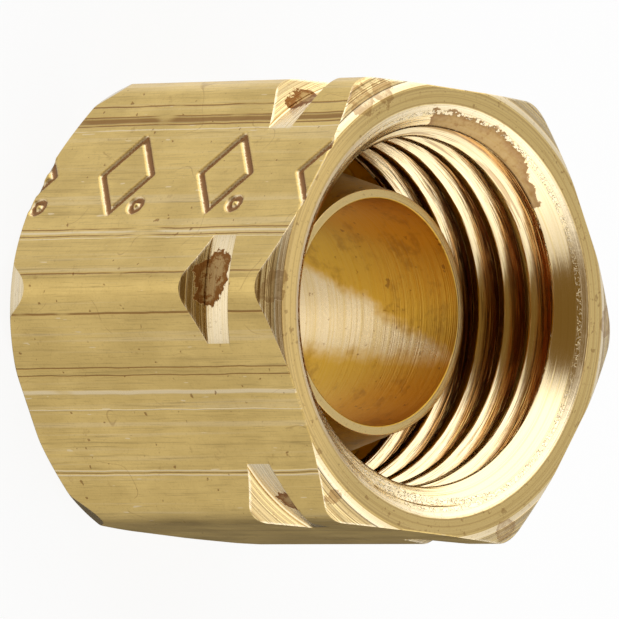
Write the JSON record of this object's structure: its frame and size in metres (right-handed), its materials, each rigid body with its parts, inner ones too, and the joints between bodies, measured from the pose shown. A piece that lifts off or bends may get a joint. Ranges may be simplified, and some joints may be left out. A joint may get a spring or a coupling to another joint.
{
  "type": "compression fitting nut",
  "caption": "Hexagonal brass compression nut, internally threaded, with a tapered captive sleeve that seals a small tube to a threaded body.",
  "frame": {"origin": "centre of the nut's back face, where the tube enters, on the axis of the thread", "axes": "+Z along the axis out of the threaded mouth, +X through two opposite corners of the hexagon, +Y square to two opposite flats"},
  "size_m": [0.0144, 0.0126, 0.0111],
  "materials": {
    "nut_brass": "drawn hexagonal bar, satin along its length, with bright turned ends, groove and thread",
    "sleeve_brass": "turned and drilled, with fine rings round the bore"
  },
  "bodies": {
    "nut_body": {"nut": "nut_brass"},
    "sleeve_body": {"captive_sleeve": "sleeve_brass"}
  },
  "joints": [
    {"name": "sleeve_spin", "type": "hinge", "parent": "nut_body", "child": "sleeve_body", "pos_m": [0, 0, 0], "axis": [0, 0, 1], "continuous": true}
  ]
}
